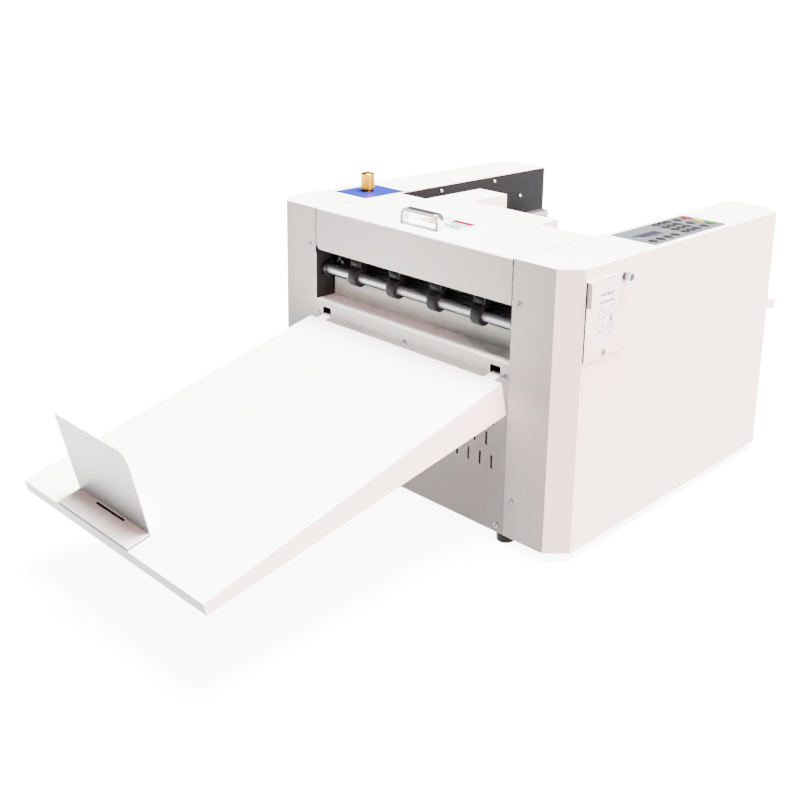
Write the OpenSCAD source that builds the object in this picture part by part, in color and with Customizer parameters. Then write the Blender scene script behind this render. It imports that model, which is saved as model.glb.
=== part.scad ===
// Desktop paper creasing machine with an automatic feed head.
// Millimetres. X runs across the machine, Y from the delivery side to the feed side, Z up.
// The origin is on the desk, under the middle of the footprint.

/* [Body] */
// Clear width between the two side casings
bay_w = 370; // [350:1:420]
// Width of each side casing
casing_w = 90; // [84:1:110]
// Depth of the body from the front face to the back face
body_d = 528; // [510:1:600]
// Height of the body above the lower edge of the casings
body_h = 370; // [330:1:420]
// Leg of the bevels on the outer upright corners
corner_bevel = 25; // [10:1:32]
// Sheet metal thickness of the covers
skin = 1.5; // [1:0.1:2]
// Inside radius of the sheet metal bends
bend_r = 1; // [0.5:0.1:2]
// Thickness of the two side frames
frame_t = 3; // [2:0.5:4]
// Gap between neighbouring sheet metal parts
seam = 0.5; // [0.3:0.1:1]

/* [Feet] */
// Height of the rubber feet
foot_h = 13; // [8:1:25]
// Diameter of the rubber feet
foot_d = 26; // [16:1:27]
// Distance from the front face to the centre of the front feet
foot_inset = 14; // [13:1:30]

/* [Paper path] */
// Depth of the paper path below the top of the casings
path_drop = 78.5; // [77:0.5:84]
// Depth of the delivery ledge below the paper path
ledge_drop = 56.5; // [50:0.5:62]
// Height of the wall behind the delivery ledge
throat_wall_h = 27; // [20:1:30]
// Diameter of the driven shafts
shaft_d = 14; // [11:0.5:15]
// Radial running clearance of shafts in their bearings
run_gap = 0.05; // [0.02:0.01:0.09]
// Radius of the rubber transport rollers
roller_r = 13.5; // [12:0.5:15]
// Width of the rubber transport rollers
roller_w = 15; // [10:1:25]
// Distance between neighbouring transport rollers
roller_pitch = 78; // [60:1:90]
// Distance from the front face to the exit shaft
exit_y = 21; // [20:0.5:22]
// Distance from the front face to the entry shaft
entry_y = 118; // [112:1:125]
// Radius of the small idler wheels over the exit rollers
idler_r = 5.5; // [4:0.5:6]

/* [Creasing tool] */
// Distance from the front face to the creasing blade
crease_y = 68; // [66:1:72]
// Travel of the creasing blade
crease_stroke = 3; // [2:0.1:3.5]
// Height of the resting blade above the paper path
blade_rest = 2.4; // [1.8:0.1:3]
// Thickness of the creasing blade
blade_t = 1; // [0.6:0.1:1.4]
// Turn of the cams that gives the full travel, in degrees
cam_turn = 150; // [100:5:170]

/* [Top cover] */
// Height of the front face of the cover
cover_face_h = 60; // [50:1:66]
// Depth of the cover beside the feed head
cover_d = 165.5; // [165:0.5:175]
// Depth of the cover over the feed head
tongue_d = 207.5; // [207:0.5:214]
// Gap between the cover and each side casing
cover_gap = 2; // [1:0.5:3]
// Radius of the lower left corner of the cover face
cover_corner_r = 10; // [4:1:14]
// Left edge of the feed head, from the middle
head_x0 = -127; // [-135:1:-115]
// Right edge of the feed head, from the middle
head_x1 = 92; // [80:1:110]
// Width of the pick-up housing behind the cover
hood_w = 56; // [52:1:66]
// Back of the pick-up housing, from the front face
hood_d = 288.8; // [285:0.1:300]
// Opening angle of the cover, in degrees
cover_open = 80; // [60:1:85]

/* [Handle] */
// Length of the cover handle
handle_l = 71; // [60:1:110]
// Height of the cover handle
handle_h = 22.5; // [18:0.5:32]
// Width of the flat bar of the handle
handle_w = 12; // [8:1:16]
// Thickness of the flat bar of the handle
handle_t = 5; // [3:0.5:6]
// Outer corner radius of the handle
handle_r = 10; // [7:0.5:12]

/* [Delivery tray] */
// Length of the delivery tray along its slope
tray_l = 450; // [350:1:500]
// Width of the delivery tray
tray_w = 366; // [350:1:368]
// Height of the tray skirts at the machine
skirt_h = 47; // [36:1:55]
// Height of the tray lip at its free end
lip_h = 15; // [10:1:20]
// Downward slope of both trays, in degrees
tray_slope = 13.9; // [10:0.1:16]
// Depth of the lower edge of the tray's hook openings below the delivery ledge
hook_drop = 22; // [18:1:26]
// Height of the hook openings
hook_hole_h = 13.5; // [11:0.5:15]
// Width of the hook openings
hook_hole_w = 18.5; // [16:0.5:24]

/* [Paper stop] */
// Width of the paper stop
stop_w = 147; // [100:1:200]
// Height of the upright of the paper stop
stop_h = 104; // [60:1:130]
// Depth of the foot of the paper stop
stop_foot = 30; // [24:1:50]
// Thickness of the magnet sheet under the paper stop
magnet_t = 1.2; // [0.8:0.1:2]

/* [Feed side] */
// Reach of the feed tray behind the body
feed_reach = 215; // [150:1:300]
// Width of the feed tray
feed_w = 352; // [330:1:360]
// Distance from the front face to the feed roller shaft
feed_y = 190; // [188:1:194]
// Radius of the feed rollers
feed_r = 16; // [14:0.5:18]
// Fall of the feed bed from its upper edge to the back of the body
bed_fall = 76; // [60:1:84]
// Distance from the feed shaft to the pick-up roller
pick_arm_l = 72; // [64:1:74]
// Radius of the pick-up roller
pick_r = 14; // [12:0.5:15]
// Distance between the inner faces of the side guides
guide_gap = 298; // [230:1:320]
// Height of the level top of the side guides above the low end of the bed
guide_h = 88; // [70:1:92]
// Width of the flange along the top of the side guides
guide_flange = 13; // [8:0.5:16]

/* [Control panel] */
// Size of the control panel across the machine
panel_w = 70.5; // [60:0.5:74]
// Size of the control panel along the machine
panel_l = 182; // [176:1:200]
// Distance from the front face to the control panel
panel_y = 188; // [180:1:200]
// Thickness of the control panel
panel_t = 0.8; // [0.5:0.1:1.5]
// Length of the black keys
key_l = 13; // [10:0.5:14]
// Width of the black keys
key_w = 11.5; // [8:0.5:12]
// Length of the three command keys
command_l = 15; // [12:0.5:17]
// Width of the three command keys
command_w = 13; // [10:0.5:14]
// Travel of the three command keys
key_travel = 0.5; // [0.3:0.1:0.8]

/* [Access plate] */
// Size of the access plate along the machine
access_w = 81; // [76:1:90]
// Height of the access plate
access_h = 102; // [90:1:110]
// Distance from the front face to the access plate
access_y = 27; // [26:1:34]
// Distance from the top of the body down to the access plate
access_drop = 15.5; // [12:0.5:20]
// Reach of the finger tab of the access plate
tab_reach = 8; // [4:0.5:12]
// Diameter of the head of the thumbscrew
thumb_d = 12; // [10:0.5:16]

/* [Adjusting knob] */
// Diameter of the brass knob
knob_d = 21.5; // [16:0.5:26]
// Height of the brass knob
knob_h = 29.5; // [22:0.5:34]
// Distance from the front face to the knob
knob_y = 136.5; // [130:0.5:150]

/* [Hidden] */
$fn = 48;

white = [0.90, 0.90, 0.88];
charcoal = [0.25, 0.25, 0.27];
black = [0.1, 0.1, 0.11];
steel = [0.75, 0.76, 0.78];
rubber = [0.2, 0.2, 0.2];

half_bay = bay_w / 2;
half_w = half_bay + casing_w;
slack = 0.3;

path_z = body_h - path_drop;
ledge_z = path_z - ledge_drop;
throat_wall_z = ledge_z + throat_wall_h;
hook_z = ledge_z - hook_drop;
access_z = body_h - access_drop - access_h;

tray_cos = cos(tray_slope);
tray_sin = sin(tray_slope);
tray_y = skirt_h * tray_sin + slack;
tray_z = hook_z + 0.2 + skin / tray_cos - tray_y * tan(tray_slope);
front_reach = tray_y + tray_l * tray_cos;
rear_reach = body_d + feed_reach;
front_y = (front_reach - rear_reach) / 2;
frame_x = half_bay + frame_t;
floor_z = skin + 0.5;
roof_z = body_h - skin;
face_z = body_h - cover_face_h;

ledge_d = 36.5;
hook_x = half_bay - 23.8;
vent_w = 4;
vent_l = 20;
vent_pitch = 20;
vent_row = 30;
vent_z = 84;
vent_x0 = 61;
vent_columns = 6;
screw_head_d = 8;

roller_x = [for (i = [-1.5:1:1.5]) i * roller_pitch];
exit_z = path_z - roller_r;
idler_z = path_z + slack + idler_r;
idler_axle_d = 4;
idler_w = 13;
feed_z = path_z + 0.5 + feed_r;
pick_x = head_x0 + hood_w / 2;
pick_y = feed_y + pick_arm_l;
bed_y0 = feed_y + 8;
bed_z0 = path_z - 1;
bed_z1 = bed_z0 - bed_fall;
bed_slope = atan((bed_z0 - bed_z1) / (body_d - bed_y0));
pick_z = bed_z0 - (pick_y - bed_y0) * tan(bed_slope) + (slack + pick_r) / cos(bed_slope);
head_y = cover_d + seam;
hood_x0 = head_x0 + skin + seam;
hood_x1 = head_x1 - skin - seam;
bearing_d = 19;
bearing_flange = 24;
sleeve_l = 9.5;
sleeve_d = 18.5;
sleeve_ring_d = 24;
sleeve_ring_w = 2.5;

die_w = 22;
die_h = 28;
groove_h = 2.4;
beam_h = 30;
beam_t = 16;
beam_z = path_z + blade_rest + 2;
cam_r = 9;
cam_w = 10;
cam_x = 120;
cam_z = beam_z + beam_h + slack / 2 + cam_r;
camshaft_d = 10;
motor_shaft_d = 10;
motor_hole_d = 22;
slot_w = 12.4;

hinge_y = tongue_d - 10;
hinge_z = roof_z - 2.5;
hinge_pin_d = 2.4;
hinge_knuckle_r = 2.2;
hinge_x = [-45, 60];
hinge_w = 40;
fold_drop = 10;
hood_lift = 28;

key_top = 0.6;
digit_x = 9.7;
digit_y = panel_l - 86.6;
digit_pitch_x = 15.6;
digit_pitch_y = 14.7;
side_key_x = panel_w - 12.9;
side_key_y = 14.3;
side_key_pitch = 18;
row_key_x = 12.8;
row_key_y = panel_l - 36.2;
row_key_pitch = 21.6;
command_x = 13.4;
command_y = panel_l - 14;
command_pitch = 20;
command_places = [for (k = [0:2]) [command_x + k * command_pitch, command_y]];
display_w = 11;
display_l = 44;
display_x = 34;
display_y = 39;
panel_x = half_bay + 9.5;
panel_z = body_h + panel_t;

access_x = half_w;
pivot_y = access_y + 40;
pivot_z = access_z + 5.5;
thumb_y = access_y + access_w - 5;
thumb_z = access_z + 96;

knob_x = -(half_bay + 39);
scale_w = 69;
scale_l = 83;
spindle_d = 8;
pulley_r = 12;
pulley_w = 9;
belt_x = -(frame_x + 14);
motor_y = 70;
motor_l = 54;
motor_w = 56;
motor_z = exit_z - 93;
shelf_z = body_h - 40;

flange_w = 13;
flange_t = 2;
flange_top = ledge_z - 8;
screw_d = 3;
thumb_thread_d = 4;
pick_axle_d = 6;
front_screws = [[half_bay - 6.5, hook_z + 2.5], [half_bay - 11.4, 10]];
middle_screw_z = hook_z + 2;
rear_screw_z = 150;
casing_screw_x = half_bay + 11.3;
casing_screw_z = [51.8, body_h - 55.2];

bed_l = (body_d - bed_y0) / cos(bed_slope);
guide_y0 = bed_y0 + 90;
guide_y1 = body_d - 31;
guide_top = bed_z1 + guide_h;
guide_slot_y = [for (y = [guide_y0 + 27, guide_y1 - 36]) (y - bed_y0) / cos(bed_slope)];
slot_x0 = 60;
slot_x1 = half_bay - 12;

// plan outline of the top cover with its stepped back edge
cover_x = half_bay - cover_gap;
cover_outline = [
    [-cover_x, 0], [cover_x, 0], [cover_x, cover_d], [head_x1, cover_d],
    [head_x1, tongue_d], [head_x0, tongue_d], [head_x0, cover_d], [-cover_x, cover_d]
];
handle_x = -4;
handle_y = 33;
stop_x = -27.5;

// Places what is drawn from the front face and the lower edge of the casings.
module machine() {
    translate([0, front_y, foot_h]) children();
}

// Extrudes a (Y, Z) profile along X, from x0 to x1.
module along_x(x0, x1) {
    translate([x0, 0, 0]) rotate([90, 0, 90]) linear_extrude(x1 - x0) children();
}

// Extrudes an (X, Z) profile along Y, from y0 to y1.
module along_y(y0, y1) {
    translate([0, y1, 0]) rotate([90, 0, 0]) linear_extrude(y1 - y0) children();
}

// Round rod along X through (y, z).
module rod(d, x0, x1, y, z) {
    translate([x0, y, z]) rotate([0, 90, 0]) cylinder(d = d, h = x1 - x0);
}

// Tube along X through (y, z).
module ring(d, bore, x0, x1, y, z) {
    difference() {
        rod(d, x0, x1, y, z);
        rod(bore, x0 - 1, x1 + 1, y, z);
    }
}

// Block between two opposite corners.
module block(low, high) {
    translate(low) cube(high - low);
}

// Profile of a sheet that is folded by right angles: straight lengths and left (1) or right (-1) turns.
module folded(lengths, turns, t, i = 0) {
    square([lengths[i], t]);
    if (i < len(turns)) {
        if (turns[i] > 0) {
            translate([lengths[i], t + bend_r]) intersection() {
                difference() {
                    circle(bend_r + t);
                    circle(bend_r);
                }
                translate([0, -bend_r - t]) square(bend_r + t);
            }
            translate([lengths[i] + bend_r + t, t + bend_r]) rotate(90)
                folded(lengths, turns, t, i + 1);
        } else {
            translate([lengths[i], -bend_r]) intersection() {
                difference() {
                    circle(bend_r + t);
                    circle(bend_r);
                }
                square(bend_r + t);
            }
            translate([lengths[i] + bend_r, -bend_r]) rotate(-90)
                folded(lengths, turns, t, i + 1);
        }
    }
}

// Oval of two half circles and a strip, longer along its first axis.
module oval(l, w) {
    square([l - w, w], center = true);
    for (s = [-1, 1]) translate([s * (l - w) / 2, 0]) circle(d = w);
}

// Plan outline of the right casing, drawn inwards by an inset.
function casing_outline(inset) = [
    [half_bay, inset],
    [half_w - corner_bevel - inset * (sqrt(2) - 1), inset],
    [half_w - inset, corner_bevel + inset * (sqrt(2) - 1)],
    [half_w - inset, body_d - corner_bevel - inset * (sqrt(2) - 1)],
    [half_w - corner_bevel - inset * (sqrt(2) - 1), body_d - inset],
    [half_bay, body_d - inset]
];

// Right casing as a shell that is open below and towards the frame.
module casing_shell() {
    difference() {
        linear_extrude(body_h) polygon(casing_outline(0));
        translate([0, 0, -1]) linear_extrude(roof_z + 1) polygon(casing_outline(skin));
        block([half_bay - 1, skin, -1], [half_bay + 1, body_d - skin, roof_z]);
    }
}

module casing_screw_holes() {
    for (z = casing_screw_z)
        translate([casing_screw_x, -1, z]) rotate([-90, 0, 0]) cylinder(d = screw_d, h = skin + 2);
}

module left_casing() {
    color(white) machine() mirror([1, 0, 0]) difference() {
        casing_shell();
        casing_screw_holes();
        translate([-knob_x, knob_y, roof_z - 1]) cylinder(d = spindle_d + 2 * run_gap, h = skin + 2);
    }
}

module right_casing() {
    color(white) machine() difference() {
        casing_shell();
        casing_screw_holes();
        // access opening to the creasing tool
        translate([half_w - 5, access_y + 10, access_z + 14]) cube([6, access_w - 26, access_h - 32]);
        rod(screw_d, half_w - 5, half_w + 1, pivot_y, pivot_z);
        rod(thumb_thread_d + 2 * run_gap, half_w - 5, half_w + 1, thumb_y, thumb_z);
        for (p = command_places) translate([panel_x + p[0], panel_y + p[1], roof_z - 1])
            linear_extrude(skin + 2) oval(command_l - 1, command_w - 1);
    }
}

module base_pan() {
    color(charcoal) machine() difference() {
        union() {
            for (m = [0, 1]) mirror([m, 0, 0])
                linear_extrude(skin) polygon(casing_outline(skin + seam));
            block([-half_bay - 0.01, skin + seam, 0], [half_bay + 0.01, body_d - skin - seam, skin]);
        }
        for (x = [-1, 1], y = [foot_inset, body_d - foot_inset - 12])
            translate([x * (half_bay - 6), y, -1]) cylinder(d = 5, h = skin + 2);
    }
}

// One side frame: plate with its bearing seats, beam slot and screw holes.
module side_frame(motor_hole) {
    difference() {
        union() {
            block([half_bay, skin + seam, skin], [frame_x, body_d - skin - seam, roof_z]);
            block([half_bay - flange_w, skin, skin], [frame_x, skin + flange_t, flange_top]);
            block([half_bay - flange_w, body_d - skin - flange_t, skin],
                  [frame_x, body_d - skin, bed_z1 - 8]);
        }
        for (p = [[exit_y, exit_z], [entry_y, exit_z], [feed_y, feed_z]])
            rod(bearing_d, half_bay - 1, frame_x + 1, p[0], p[1]);
        rod(8 + 2 * run_gap, half_bay - 1, frame_x + 1, entry_y, path_z + slack + 8);
        rod(camshaft_d + 2 * run_gap, half_bay - 1, frame_x + 1, crease_y, cam_z);
        if (motor_hole) rod(motor_hole_d, half_bay - 1, frame_x + 1, motor_y, motor_z);
        block([half_bay - 1, crease_y - slot_w / 2, beam_z - crease_stroke - 1],
              [frame_x + 1, crease_y + slot_w / 2, beam_z + 22]);
        for (p = front_screws) translate([p[0], 0, p[1]]) rotate([-90, 0, 0]) cylinder(d = screw_d, h = 12);
        translate([half_bay - 6, body_d - 12, rear_screw_z])
            rotate([-90, 0, 0]) cylinder(d = screw_d, h = 12);
    }
}

module left_frame() {
    color(charcoal) machine() mirror([1, 0, 0]) {
        side_frame(true);
        // shelf with the lower bearing of the knob spindle
        difference() {
            block([frame_x - 0.01, knob_y - 12, shelf_z], [-knob_x + 12, knob_y + 12, shelf_z + 4]);
            translate([-knob_x, knob_y, shelf_z - 1]) cylinder(d = spindle_d + 2 * run_gap, h = 6);
        }
    }
}

module right_frame() {
    color(charcoal) machine() side_frame(false);
}

// Front panel: face, ledge under the delivery rollers and wall behind it.
module front_panel() {
    face = ledge_z - skin - bend_r;
    ledge = ledge_d - skin - 2 * bend_r;
    wall = throat_wall_z - ledge_z - bend_r;
    color(white) machine() difference() {
        along_x(-half_bay + seam, half_bay - seam)
            translate([skin, 0]) rotate(90)
                folded([face, ledge, wall], [-1, 1], skin);
        for (s = [-1, 1]) {
            translate([s * hook_x, 0, hook_z + hook_hole_h / 2])
                cube([hook_hole_w, 3 * skin, hook_hole_h], center = true);
            for (p = front_screws)
                translate([s * p[0], -1, p[1]]) rotate([-90, 0, 0]) cylinder(d = screw_d, h = skin + 2);
        }
        translate([0, -1, middle_screw_z]) rotate([-90, 0, 0]) cylinder(d = screw_d, h = skin + 2);
        for (row = [0:2], k = [0:vent_columns - 1 - row % 2])
            let (x = vent_x0 + (k + (row % 2) / 2) * vent_pitch)
                translate([x, skin / 2, vent_z + vent_l / 2 + row * vent_row])
                rotate([90, 90, 0]) linear_extrude(3 * skin, center = true) oval(vent_l, vent_w);
    }
}

module rear_panel() {
    top = bed_z1 - 3;
    color(white) machine() difference() {
        block([-half_bay + seam, body_d - skin, 0], [half_bay - seam, body_d, top]);
        for (k = [0:7], row = [0:1])
            translate([(k - 3.5) * vent_pitch, body_d - skin / 2, 60 + row * vent_row])
                rotate([90, 90, 0]) linear_extrude(3 * skin, center = true) oval(vent_l, vent_w);
        block([-half_bay + 36, body_d - 5, 22], [-half_bay + 64, body_d + 1, 70]);
        for (s = [-1, 1]) translate([s * (half_bay - 6), body_d - 5, rear_screw_z])
            rotate([-90, 0, 0]) cylinder(d = screw_d, h = 6);
    }
}

// Runs along the sloped bed: children are drawn with y from its upper edge.
module on_bed() {
    translate([0, bed_y0, bed_z0]) rotate([-bed_slope, 0, 0]) children();
}

module feed_bed() {
    color(white) machine() difference() {
        on_bed() union() {
            block([-half_bay + seam, 0, -skin], [half_bay - seam, bed_l - 2, 0]);
            for (s = [-1, 1]) block([s * (half_bay - seam - skin / 2) - skin / 2, 4, -16],
                                    [s * (half_bay - seam - skin / 2) + skin / 2, bed_l - 8, -skin + 0.01]);
            rotate([bed_slope, 0, 0]) block([-half_bay + seam, 0, -26], [half_bay - seam, skin, -0.5]);
        }
        on_bed() for (s = [-1, 1], y = guide_slot_y)
            translate([s * (slot_x0 + slot_x1) / 2, y, 0])
                linear_extrude(4 * skin, center = true) oval(slot_x1 - slot_x0, 8);
    }
}

// Housing over the feed rollers, with the pick-up housing behind it.
module feed_hood() {
    low = path_z + hood_lift;
    top = hinge_z - 12;
    back = tongue_d + 1.2;
    color(white) machine() difference() {
        union() {
            block([hood_x0, head_y, low], [hood_x1, back, top]);
            block([head_x0, back, low], [head_x0 + hood_w, hood_d, body_h]);
        }
        block([hood_x0 + skin, head_y + skin, low - 1], [hood_x1 - skin, back - skin, top - skin]);
        block([head_x0 + skin, back + skin, low - 1],
              [head_x0 + hood_w - skin, hood_d - skin, roof_z]);
    }
}

// Channel across the frames that carries the cover hinges.
module hinge_beam() {
    color(charcoal) machine() difference() {
        block([-half_bay, head_y - 12, path_z + 34], [half_bay, head_y, hinge_z - 13]);
        block([-half_bay + 3, head_y - 14, path_z + 36], [half_bay - 3, head_y - 2, hinge_z - 15]);
    }
}

module feet() {
    color(rubber) machine()
        for (x = [-1, 1], y = [foot_inset, body_d - foot_inset - 12])
            translate([x * (half_bay - 6), y, -foot_h]) {
                cylinder(d1 = foot_d - 2, d2 = foot_d, h = foot_h);
                cylinder(d = 5, h = foot_h + skin + 2);
            }
}

// Pan head screw that points along +Z, with its head above z = 0.
module pan_head() {
    cylinder(d = screw_head_d, h = 1.4);
    translate([0, 0, -5]) cylinder(d = screw_d, h = 5.01);
}

module case_screws() {
    color(steel) machine() {
        for (s = [-1, 1]) {
            for (z = casing_screw_z) translate([s * casing_screw_x, 0, z]) rotate([90, 0, 0]) pan_head();
            for (p = front_screws) translate([s * p[0], 0, p[1]]) rotate([90, 0, 0]) pan_head();
            translate([s * (half_bay - 6), body_d, rear_screw_z]) rotate([-90, 0, 0]) pan_head();
        }
        // screw with its nut in the middle of the front panel
        translate([0, 0, middle_screw_z]) rotate([90, 0, 0]) pan_head();
        translate([0, skin, middle_screw_z]) rotate([-90, 0, 0]) cylinder(d = 6.4, h = 2.4, $fn = 6);
        // pivot of the access plate
        translate([half_w + skin + 0.3, pivot_y, pivot_z]) rotate([0, 90, 0]) pan_head();
    }
}

module scale_plate() {
    color([0.2, 0.32, 0.75]) machine() difference() {
        translate([knob_x + 3 - scale_w / 2, knob_y + 2 - scale_l / 2, body_h])
            cube([scale_w, scale_l, 0.6]);
        translate([knob_x, knob_y, body_h - 1]) cylinder(d = spindle_d + 2, h = 3);
    }
}

module keypad_panel() {
    color([0.72, 0.74, 0.75]) machine() difference() {
        block([panel_x, panel_y, body_h], [panel_x + panel_w, panel_y + panel_l, panel_z]);
        for (p = command_places) translate([panel_x + p[0], panel_y + p[1], body_h - 1])
            linear_extrude(panel_t + 2) oval(command_l + 2 * slack, command_w + 2 * slack);
    }
}

module display_window() {
    color([0.45, 0.45, 0.75]) machine()
        translate([panel_x + display_x - display_w / 2, panel_y + display_y - display_l / 2, panel_z])
            cube([display_w, display_l, 0.5]);
}

module key_cap(x, y) {
    translate([panel_x + x, panel_y + y, panel_z]) linear_extrude(key_top) oval(key_l, key_w);
}

module number_keys() {
    color(black) machine() {
        for (i = [0:3], k = [0:2]) key_cap(digit_x + i * digit_pitch_x, digit_y + k * digit_pitch_y);
        for (k = [0:3]) key_cap(side_key_x, side_key_y + k * side_key_pitch);
        for (k = [0:2]) key_cap(row_key_x + k * row_key_pitch, row_key_y);
    }
}

// One command key: cap above the panel, stem through the casing.
module command_key(k) {
    p = command_places[k];
    machine() translate([panel_x + p[0], panel_y + p[1], 0]) {
        translate([0, 0, panel_z - 0.2]) linear_extrude(1.6) oval(command_l, command_w);
        translate([0, 0, roof_z - 1]) linear_extrude(skin + panel_t + 1) oval(command_l - 2, command_w - 2);
    }
}

module reset_key() {
    color([0.8, 0.15, 0.12]) command_key(0);
}

module stop_key() {
    color([0.95, 0.78, 0.1]) command_key(1);
}

module start_key() {
    color([0.1, 0.6, 0.25]) command_key(2);
}

module power_inlet() {
    color(black) machine() difference() {
        union() {
            block([-half_bay + 36.3, body_d - 28, 22.3], [-half_bay + 63.7, body_d, 69.7]);
            block([-half_bay + 32, body_d, 18], [-half_bay + 68, body_d + 2.5, 74]);
        }
        block([-half_bay + 38, body_d - 18, 25], [-half_bay + 62, body_d + 3, 43]);
        block([-half_bay + 40, body_d - 12, 49.5], [-half_bay + 60, body_d + 3, 66.5]);
        rod(2.2, -half_bay + 37, -half_bay + 63, body_d - 3.5, 58);
    }
}

// Rocker of the power switch, with its trunnions in the frame of the inlet.
module power_rocker() {
    color([0.6, 0.08, 0.06]) machine() {
        rod(2, -half_bay + 38, -half_bay + 62, body_d - 3.5, 58);
        along_x(-half_bay + 40.6, -half_bay + 59.4) translate([body_d - 3.5, 58])
            polygon([[-4, -6.4], [4.2, -7.4], [3.4, 0], [7.6, 6.4], [0, 7.2], [-4, 4]]);
    }
}

// Front face of the cover: its lower left corner is well rounded, the right one is square.
module cover_face() {
    r = cover_corner_r;
    translate([-cover_x, face_z + r]) square([2 * cover_x, cover_face_h - r - skin - bend_r]);
    translate([-cover_x + r, face_z]) square([2 * cover_x - r, r + 0.01]);
    translate([-cover_x + r, face_z + r]) circle(r);
}

// Turned-down edge of the cover, whose outer face is at x on side s.
module cover_edge(x, s, y0, y1) {
    block([min(x, x - s * skin), y0, roof_z - fold_drop], [max(x, x - s * skin), y1, roof_z + 0.01]);
}

module top_cover() {
    color(white) machine() {
        // top plate from the front bend back
        intersection() {
            translate([0, 0, roof_z]) linear_extrude(skin) polygon(cover_outline);
            block([-half_w, skin + bend_r, 0], [half_w, body_d, body_h + 1]);
        }
        // front bend and face
        along_x(-cover_x, cover_x) translate([skin + bend_r, roof_z - bend_r]) intersection() {
            difference() {
                circle(bend_r + skin);
                circle(bend_r);
            }
            translate([-bend_r - skin, 0]) square(bend_r + skin);
        }
        along_y(0, skin) cover_face();
        for (s = [-1, 1]) cover_edge(s * cover_x, s, skin + bend_r, cover_d - 6);
        cover_edge(head_x0, -1, cover_d + seam, tongue_d);
        cover_edge(head_x1, 1, cover_d + seam, tongue_d);
    }
}

module cover_handle() {
    r_in = handle_r - handle_t;
    leg = handle_h - handle_r;
    span = handle_l - 2 * handle_r;
    front = handle_y - handle_w / 2;
    color(steel) machine() translate([handle_x, 0, body_h]) along_y(front, front + handle_w) {
        for (s = [-1, 1]) {
            translate([s * (handle_l - handle_t) / 2 - handle_t / 2, 0]) square([handle_t, leg]);
            translate([s * span / 2, leg]) intersection() {
                difference() {
                    circle(handle_r);
                    circle(r_in);
                }
                translate([s > 0 ? 0 : -handle_r, 0]) square(handle_r);
            }
        }
        translate([-span / 2, handle_h - handle_t]) square([span, handle_t]);
    }
}

// Moving leaves under the cover: middle knuckles round the pins.
module cover_hinge_leaves() {
    half = hinge_w / 6 - slack;
    color(steel) machine() for (x = hinge_x) {
        block([x - hinge_w / 2, hinge_y - 22, roof_z - 1.2], [x + hinge_w / 2, hinge_y - 3.2, roof_z]);
        block([x - half, hinge_y - 4, roof_z - 1.2], [x + half, hinge_y, roof_z]);
        difference() {
            union() {
                rod(2 * hinge_knuckle_r, x - half, x + half, hinge_y, hinge_z);
                block([x - half, hinge_y - hinge_knuckle_r, hinge_z], [x + half, hinge_y, roof_z - 0.5]);
            }
            rod(hinge_pin_d + 2 * run_gap, x - hinge_w, x + hinge_w, hinge_y, hinge_z);
        }
    }
}

// Fixed leaves: they hang from the pins on the hinge shelf of the feed head.
module beam_hinge_leaves() {
    shelf = hinge_z - 12;
    color(steel) machine() for (x = hinge_x) {
        rod(hinge_pin_d, x - hinge_w / 2, x + hinge_w / 2, hinge_y, hinge_z);
        for (s = [-1, 1]) {
            a = x + s * hinge_w / 3 - hinge_w / 6;
            rod(2 * hinge_knuckle_r, a, a + hinge_w / 3, hinge_y, hinge_z);
            block([a, hinge_y - hinge_knuckle_r, shelf], [a + hinge_w / 3, hinge_y - 0.6, hinge_z]);
        }
        block([x - hinge_w / 2, hinge_y - 24, shelf], [x + hinge_w / 2, hinge_y - 0.6, shelf + 1.2]);
    }
}

// Cover plate of the tool opening; its open slot slips off the thumbscrew.
module access_plate() {
    tab_l = 32;
    tab_r = tab_reach / 2;
    color(white) machine() difference() {
        union() {
            translate([access_x + 0.2, access_y, access_z]) cube([skin, access_w, access_h]);
            // finger tab that stands out from the front edge
            along_y(access_y, access_y + skin) translate([access_x + 0.2, access_z + access_h - tab_l]) {
                square([tab_reach - tab_r, tab_l]);
                square([tab_reach, tab_l - tab_r]);
                translate([tab_reach - tab_r, tab_l - tab_r]) circle(tab_r);
            }
        }
        rod(screw_d + 2 * run_gap, access_x - 1, access_x + 5, pivot_y, pivot_z);
        rod(5, access_x - 1, access_x + 5, thumb_y, thumb_z);
        along_x(access_x - 1, access_x + 5) translate([thumb_y, thumb_z])
            polygon([[0, 2.5], [0, -2.5], [8, -7], [8, 1.5]]);
    }
}

module thumbscrew() {
    head_x = access_x + skin + 0.5;
    color(steel) machine() {
        rod(thumb_thread_d, access_x - 8, head_x + 2, thumb_y, thumb_z);
        rod(9, head_x, head_x + 3, thumb_y, thumb_z);
        rod(6, head_x + 2.9, head_x + 5, thumb_y, thumb_z);
        difference() {
            rod(thumb_d, head_x + 4.9, head_x + 10.5, thumb_y, thumb_z);
            for (a = [0:15:345]) translate([0, thumb_y, thumb_z]) rotate([a, 0, 0])
                rod(0.9, head_x + 4, head_x + 12, thumb_d / 2 + 0.1, 0);
        }
    }
}

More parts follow.
